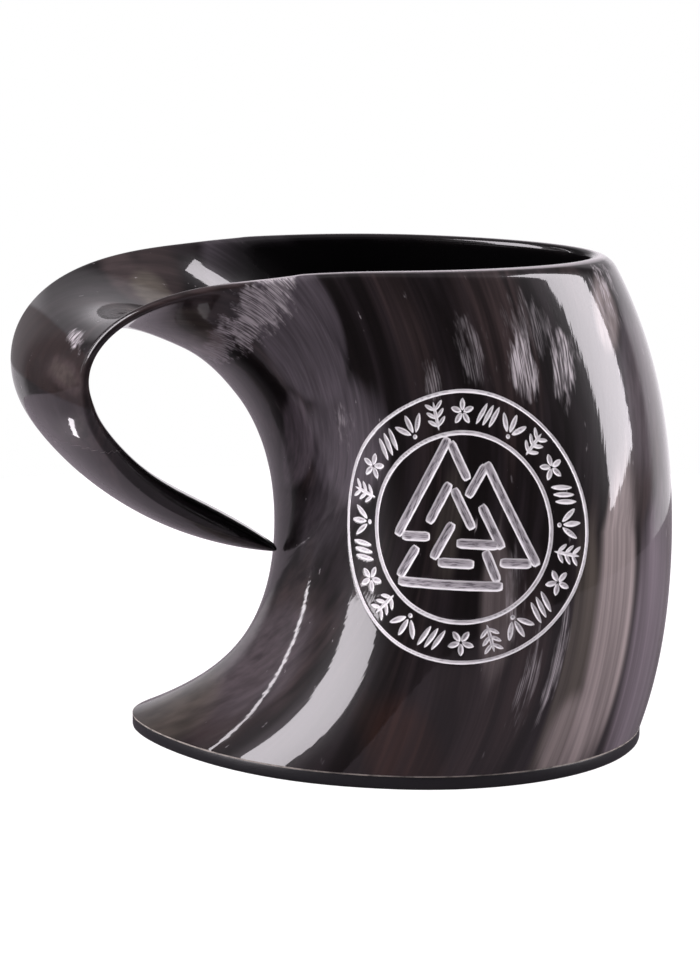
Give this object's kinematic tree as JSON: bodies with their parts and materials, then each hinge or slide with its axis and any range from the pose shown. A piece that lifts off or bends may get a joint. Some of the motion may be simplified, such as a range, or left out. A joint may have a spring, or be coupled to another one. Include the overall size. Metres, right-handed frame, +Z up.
{
  "type": "horn drinking cup",
  "caption": "Drinking cup cut from one polished dark horn, standing on its wide end on a thin plate, with the horn's own wall rolled over as a looped handle.",
  "frame": {"origin": "centre of the base plate's underside, which is the plane the cup stands on", "axes": "+Z up, the handle lies towards -X and the carved side towards -Y"},
  "size_m": [0.151, 0.0992, 0.1115],
  "materials": {
    "polished_horn": "polished and lacquered",
    "black_plate": "satin",
    "pale_glue": "matte",
    "dark_sealant": "glossy"
  },
  "bodies": {
    "root": {"horn": "polished_horn", "base_plate": "black_plate", "glue_line": "pale_glue", "seal_bead": "dark_sealant"}
  },
  "joints": []
}
